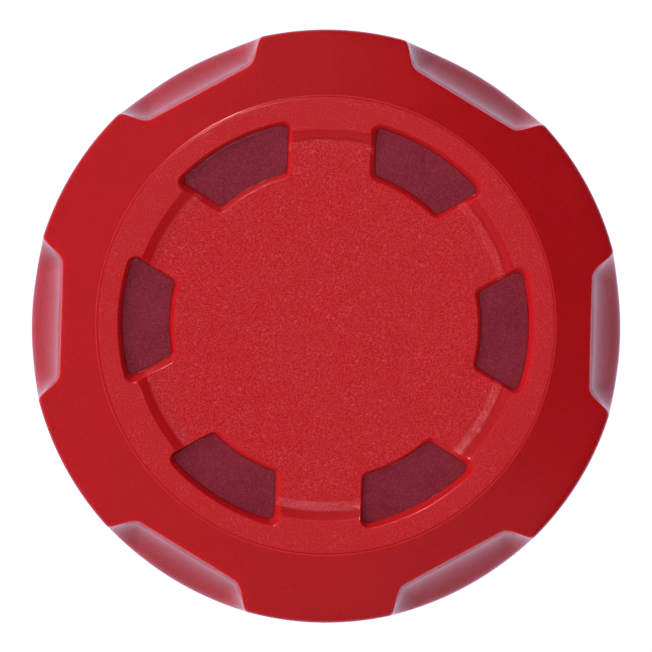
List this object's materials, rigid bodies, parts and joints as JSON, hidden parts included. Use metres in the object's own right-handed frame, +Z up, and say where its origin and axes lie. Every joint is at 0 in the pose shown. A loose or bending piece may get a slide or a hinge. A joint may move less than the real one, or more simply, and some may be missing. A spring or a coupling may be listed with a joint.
{
  "type": "rock tumbler barrel",
  "caption": "Rock tumbler's barrel standing on its base: a rubber-lined drum on rubber tyres, closed by a red screw lid with finger scoops and windows on its keyed core.",
  "frame": {"origin": "centre of the plane that the base stands on", "axes": "+Z up along the barrel's axis, towards the lid; +X through the middle of one window and scoop"},
  "size_m": [0.11, 0.11, 0.128],
  "materials": {
    "red_lid": "fine spark texture, smooth bevel and scoops",
    "red_cap": "fine spark texture",
    "plum_core": "frosted",
    "plum_drum": "fine spark texture",
    "tyre_rubber": "matt, grooved tread",
    "liner_rubber": "matt, moulded",
    "plate_steel": "brushed",
    "screw_steel": "zinc plated",
    "acetal": "satin, natural white"
  },
  "bodies": {
    "drum": {"drum_shell": "plum_drum", "drum_liner": "liner_rubber", "base_cap": "red_cap", "front_tyre": "tyre_rubber", "rear_tyre": "tyre_rubber", "thrust_button": "acetal", "base_screw_1": "screw_steel", "base_screw_2": "screw_steel", "base_screw_3": "screw_steel", "base_screw_4": "screw_steel", "base_screw_5": "screw_steel", "base_screw_6": "screw_steel"},
    "seal": {"seal_plug": "liner_rubber", "plug_ring": "tyre_rubber", "pressure_plate": "plate_steel", "slip_washer": "acetal", "slip_ring": "acetal", "swivel_stud": "plate_steel", "swivel_clip": "plate_steel"},
    "lid": {"lid_shell": "red_lid", "lid_core": "plum_core", "core_screw_1": "screw_steel", "core_screw_2": "screw_steel", "core_screw_3": "screw_steel", "core_screw_4": "screw_steel", "core_screw_5": "screw_steel", "core_screw_6": "screw_steel"}
  },
  "joints": [
    {"name": "lid_lift", "type": "slide", "parent": "drum", "child": "seal", "axis": [0, 0, 1], "range_m": [0, 0.048]},
    {"name": "lid_turn", "type": "hinge", "parent": "seal", "child": "lid", "pos_m": [0, 0, 0.12], "axis": [0, 0, 1], "range_deg": [0, 1440]}
  ],
  "couplings": [
    {"joint": "lid_lift", "follows": "lid_turn", "m_per_rad": 0.0019098}
  ]
}
